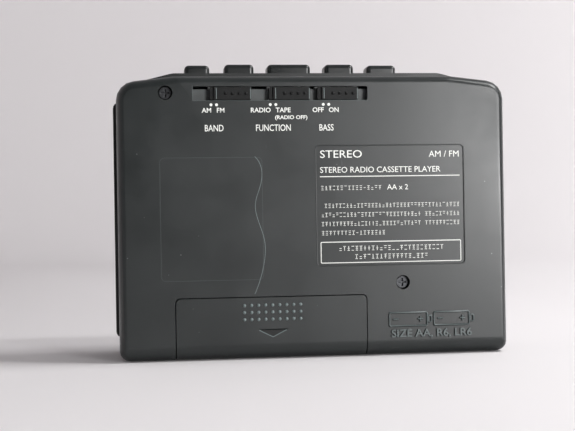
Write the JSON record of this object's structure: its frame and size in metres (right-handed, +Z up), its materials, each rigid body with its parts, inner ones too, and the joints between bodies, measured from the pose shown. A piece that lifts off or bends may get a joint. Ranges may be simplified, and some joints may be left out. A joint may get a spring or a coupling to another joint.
{
  "type": "cassette player",
  "caption": "Personal radio cassette player with a hinged cassette door, piano keys, slide switches and a sliding battery cover.",
  "frame": {"origin": "middle of the footprint, at the case's bottom edge", "axes": "+X right when looking at the back, +Y from the back cover to the cassette door, +Z up to the keys"},
  "size_m": [0.1238, 0.0364, 0.0926],
  "materials": {
    "case": "fine spark texture",
    "door": "satin",
    "window": "clear",
    "black": "satin",
    "key": "gloss",
    "knob": "satin",
    "grey_strip": "matte",
    "screw_black": "black",
    "steel": "plated",
    "brass": "turned",
    "white": "moulded",
    "rubber": "matte",
    "board": "laminate",
    "ferrite": "sintered",
    "cell": "printed jacket"
  },
  "bodies": {
    "case": {"aa_cell_left": "cell", "aa_cell_right": "cell", "back_screw_left": "screw_black", "back_screw_right": "screw_black", "back_shell": "case", "band_switch": "steel", "bass_switch": "steel", "battery_contact_left": "steel", "battery_contact_right": "steel", "battery_spring": "steel", "chassis_plate": "steel", "chassis_screw_1": "steel", "chassis_screw_2": "steel", "drive_belt": "rubber", "ferrite_rod": "ferrite", "front_shell": "case", "function_switch": "steel", "headphone_jack": "black", "key_spring_rail": "steel", "main_board": "board", "motor": "steel", "spring_direction": "steel", "spring_fast_forward": "steel", "spring_play": "steel", "spring_rewind": "steel", "spring_stop": "steel", "switch_backing_strip": "grey_strip", "tuning_control": "white", "volume_control": "white"},
    "door": {"cassette_door": "door", "door_window": "window", "door_hinge_pin_left": "steel", "door_hinge_pin_right": "steel", "cassette_holder": "black"},
    "battery_cover": {"battery_cover": "case"},
    "key_direction": {"button_direction": "key"},
    "key_rewind": {"button_rewind": "key"},
    "key_play": {"button_play": "key"},
    "key_fast_forward": {"button_fast_forward": "key"},
    "key_stop": {"button_stop": "key"},
    "band_knob": {"band_switch_knob": "knob"},
    "function_knob": {"function_switch_knob": "knob"},
    "bass_knob": {"bass_switch_knob": "knob"},
    "tuning_wheel": {"tuning_wheel": "black"},
    "volume_wheel": {"volume_wheel": "black"},
    "flywheel_right": {"flywheel_right": "brass", "capstan_right": "steel"},
    "flywheel_left": {"flywheel_left": "brass", "capstan_left": "steel"},
    "motor_pulley": {"motor_pulley": "brass"},
    "belt_idler": {"belt_idler": "white"},
    "idler_gear": {"idler_gear": "white"},
    "reel_right": {"reel_hub_right": "white"},
    "reel_left": {"reel_hub_left": "white"},
    "head_plate": {"head_plate": "steel", "play_head": "steel"},
    "pinch_left": {"pinch_arm_left": "steel"},
    "pinch_right": {"pinch_arm_right": "steel"},
    "pinch_roller_left": {"pinch_roller_left": "rubber"},
    "pinch_roller_right": {"pinch_roller_right": "rubber"}
  },
  "joints": [
    {"name": "door_hinge", "type": "hinge", "parent": "case", "child": "door", "pos_m": [0, 0.0135, 0.008], "axis": [-1, 0, 0], "range_deg": [0, 40]},
    {"name": "battery_cover_slide", "type": "slide", "parent": "case", "child": "battery_cover", "axis": [0, 0, -1], "range_m": [0, 0.006]},
    {"name": "press_direction", "type": "slide", "parent": "case", "child": "key_direction", "axis": [0, 0, -1], "range_m": [0, 0.0025], "stiffness_N_per_m": 300, "springref_m": -0.002, "deforming": ["spring_direction"]},
    {"name": "press_rewind", "type": "slide", "parent": "case", "child": "key_rewind", "axis": [0, 0, -1], "range_m": [0, 0.0025], "stiffness_N_per_m": 300, "springref_m": -0.002, "deforming": ["spring_rewind"]},
    {"name": "press_play", "type": "slide", "parent": "case", "child": "key_play", "axis": [0, 0, -1], "range_m": [0, 0.0025], "stiffness_N_per_m": 300, "springref_m": -0.002, "deforming": ["spring_play"]},
    {"name": "press_fast_forward", "type": "slide", "parent": "case", "child": "key_fast_forward", "axis": [0, 0, -1], "range_m": [0, 0.0025], "stiffness_N_per_m": 300, "springref_m": -0.002, "deforming": ["spring_fast_forward"]},
    {"name": "press_stop", "type": "slide", "parent": "case", "child": "key_stop", "axis": [0, 0, -1], "range_m": [0, 0.0025], "stiffness_N_per_m": 300, "springref_m": -0.002, "deforming": ["spring_stop"]},
    {"name": "band_switch_slide", "type": "slide", "parent": "case", "child": "band_knob", "axis": [1, 0, 0], "range_m": [-0.00165, 0]},
    {"name": "function_switch_slide", "type": "slide", "parent": "case", "child": "function_knob", "axis": [1, 0, 0], "range_m": [-0.00165, 0]},
    {"name": "bass_switch_slide", "type": "slide", "parent": "case", "child": "bass_knob", "axis": [1, 0, 0], "range_m": [0, 0.00165]},
    {"name": "tuning_turn", "type": "hinge", "parent": "case", "child": "tuning_wheel", "pos_m": [0.0497, -0.005, 0.04], "axis": [0, 1, 0], "range_deg": [-140, 140]},
    {"name": "volume_turn", "type": "hinge", "parent": "case", "child": "volume_wheel", "pos_m": [0.0537, -0.005, 0.065], "axis": [0, 1, 0], "range_deg": [-140, 140]},
    {"name": "flywheel_right_spin", "type": "hinge", "parent": "case", "child": "flywheel_right", "pos_m": [0.022, -0.0067, 0.069], "axis": [0, 1, 0], "continuous": true},
    {"name": "flywheel_left_spin", "type": "hinge", "parent": "case", "child": "flywheel_left", "pos_m": [-0.022, -0.0067, 0.069], "axis": [0, 1, 0], "continuous": true},
    {"name": "motor_spin", "type": "hinge", "parent": "case", "child": "motor_pulley", "pos_m": [-0.045, -0.0067, 0.04], "axis": [0, 1, 0], "continuous": true},
    {"name": "belt_idler_spin", "type": "hinge", "parent": "case", "child": "belt_idler", "pos_m": [0.038, -0.0067, 0.0585], "axis": [0, 1, 0], "continuous": true},
    {"name": "idler_gear_spin", "type": "hinge", "parent": "case", "child": "idler_gear", "pos_m": [0.02171, -0.0036, 0.05765], "axis": [0, 1, 0], "continuous": true},
    {"name": "reel_right_spin", "type": "hinge", "parent": "case", "child": "reel_right", "pos_m": [0.02125, 0.0015, 0.04], "axis": [0, 1, 0], "continuous": true},
    {"name": "reel_left_spin", "type": "hinge", "parent": "case", "child": "reel_left", "pos_m": [-0.02125, 0.0015, 0.04], "axis": [0, 1, 0], "continuous": true},
    {"name": "head_plate_slide", "type": "slide", "parent": "case", "child": "head_plate", "axis": [0, 0, -1], "range_m": [0, 0.0025]},
    {"name": "pinch_left_swing", "type": "hinge", "parent": "case", "child": "pinch_left", "pos_m": [-0.033, 0.0041, 0.0765], "axis": [0, 1, 0], "range_deg": [0, 18.63]},
    {"name": "pinch_right_swing", "type": "hinge", "parent": "case", "child": "pinch_right", "pos_m": [0.033, 0.0041, 0.0765], "axis": [0, -1, 0], "range_deg": [0, 18.63]},
    {"name": "pinch_roller_left_spin", "type": "hinge", "parent": "pinch_left", "child": "pinch_roller_left", "pos_m": [-0.022, 0.0041, 0.0762], "axis": [0, 1, 0], "continuous": true},
    {"name": "pinch_roller_right_spin", "type": "hinge", "parent": "pinch_right", "child": "pinch_roller_right", "pos_m": [0.022, 0.0041, 0.0762], "axis": [0, 1, 0], "continuous": true}
  ],
  "couplings": [
    {"joint": "flywheel_left_spin", "follows": "flywheel_right_spin", "ratio": -1},
    {"joint": "motor_spin", "follows": "flywheel_right_spin", "ratio": -7},
    {"joint": "belt_idler_spin", "follows": "flywheel_right_spin", "ratio": -4.3077},
    {"joint": "idler_gear_spin", "follows": "flywheel_right_spin", "ratio": -0.45454},
    {"joint": "reel_right_spin", "follows": "flywheel_right_spin", "ratio": 0.35714},
    {"joint": "head_plate_slide", "follows": "press_play", "ratio": 1},
    {"joint": "pinch_left_swing", "follows": "press_play", "rad_per_m": 130},
    {"joint": "pinch_right_swing", "follows": "press_play", "rad_per_m": 130}
  ]
}
